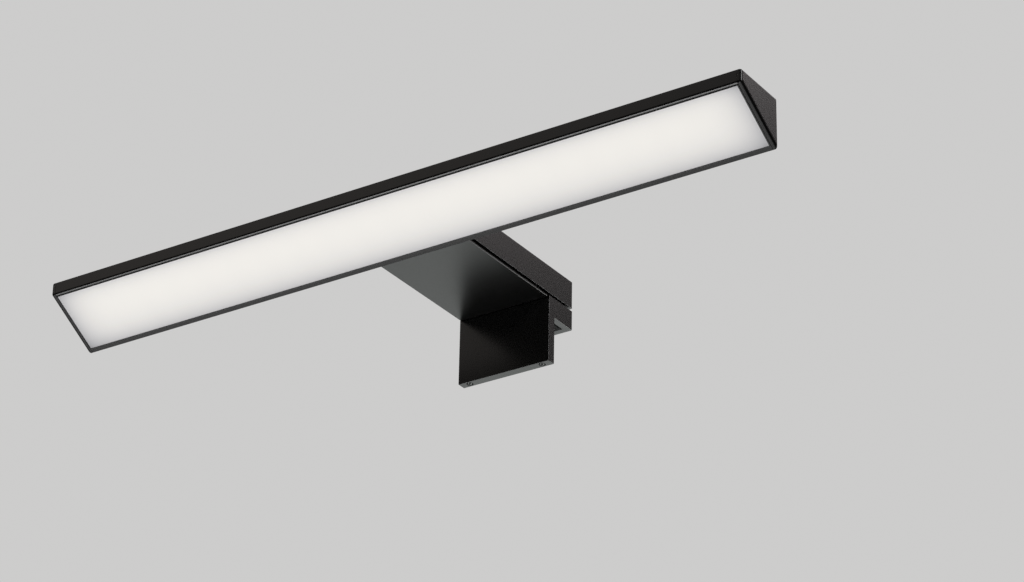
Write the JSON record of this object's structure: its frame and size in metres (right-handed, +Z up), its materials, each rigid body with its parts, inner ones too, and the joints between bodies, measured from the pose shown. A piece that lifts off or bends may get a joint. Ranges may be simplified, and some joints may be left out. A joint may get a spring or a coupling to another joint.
{
  "type": "clip-on mirror light bar",
  "caption": "Slim black light bar with a sloping opal diffuser, on a short arm that clamps over a mirror's top edge.",
  "frame": {"origin": "on the underside of the seat pad, where the clamp rests on the mirror's top edge: mid-width of the bracket, and over the middle of a 4 mm glass", "axes": "+X along the bar to the right as the user faces the mirror, +Y from the user into the wall, +Z up"},
  "size_m": [0.3, 0.1003, 0.0406],
  "materials": {
    "black_paint": "satin black powder coat",
    "opal": "opal acrylic, lit",
    "rubber": "matt black rubber",
    "steel": "zinc-plated steel",
    "black_steel": "blackened steel",
    "black_plastic": "moulded matt",
    "white_plastic": "moulded matt",
    "white_board": "white solder mask",
    "green_board": "green solder mask",
    "led": "phosphor",
    "wire_black": "insulated lead",
    "wire_red": "insulated lead"
  },
  "bodies": {
    "lamp": {"housing_profile": "black_paint", "end_cap_left": "black_paint", "end_cap_right": "black_paint", "end_gasket_left": "rubber", "end_gasket_right": "rubber", "diffuser": "opal", "thermal_tape": "rubber", "led_board": "white_board", "led_01": "led", "led_02": "led", "led_03": "led", "led_04": "led", "led_05": "led", "led_06": "led", "led_07": "led", "led_08": "led", "led_09": "led", "led_10": "led", "led_11": "led", "led_12": "led", "led_13": "led", "led_14": "led", "led_15": "led", "led_16": "led", "led_17": "led", "led_18": "led", "led_19": "led", "led_20": "led", "led_connector": "white_plastic", "arm_joint": "black_paint", "arm_screw_left": "steel", "arm_screw_right": "steel", "wire_bush": "rubber", "arm_body": "black_paint", "arm_base_plate": "black_paint", "clamp_bracket": "black_paint", "bracket_screw_left": "steel", "bracket_screw_right": "steel", "edge_screw_left": "black_steel", "edge_screw_right": "black_steel", "front_pad": "rubber", "seat_pad": "rubber", "driver_tray": "black_plastic", "driver_board": "green_board", "driver_transformer": "black_plastic", "driver_capacitor": "black_plastic", "driver_choke": "black_plastic", "driver_rectifier": "black_plastic", "terminal_block": "white_plastic", "terminal_screw_left": "steel", "terminal_screw_right": "steel", "cable_grommet": "rubber", "led_wire_black": "wire_black", "led_wire_red": "wire_red"},
    "jaw": {"rear_jaw": "steel", "jaw_pad": "rubber"},
    "screw_left": {"clamp_screw_left": "steel"},
    "screw_right": {"clamp_screw_right": "steel"}
  },
  "joints": [
    {"name": "jaw_slide", "type": "slide", "parent": "lamp", "child": "jaw", "axis": [0, 1, 0], "range_m": [-0.0016, 0.0012]},
    {"name": "screw_left_turn", "type": "hinge", "parent": "jaw", "child": "screw_left", "pos_m": [-0.0055, 0.0037, -0.0062], "axis": [0, 1, 0], "range_deg": [-823.9, 618.1]},
    {"name": "screw_right_turn", "type": "hinge", "parent": "jaw", "child": "screw_right", "pos_m": [0.0055, 0.0037, -0.0062], "axis": [0, 1, 0], "range_deg": [-823.9, 618.1]}
  ],
  "couplings": [
    {"joint": "screw_left_turn", "follows": "jaw_slide", "rad_per_m": 8976},
    {"joint": "screw_right_turn", "follows": "jaw_slide", "rad_per_m": 8976}
  ]
}
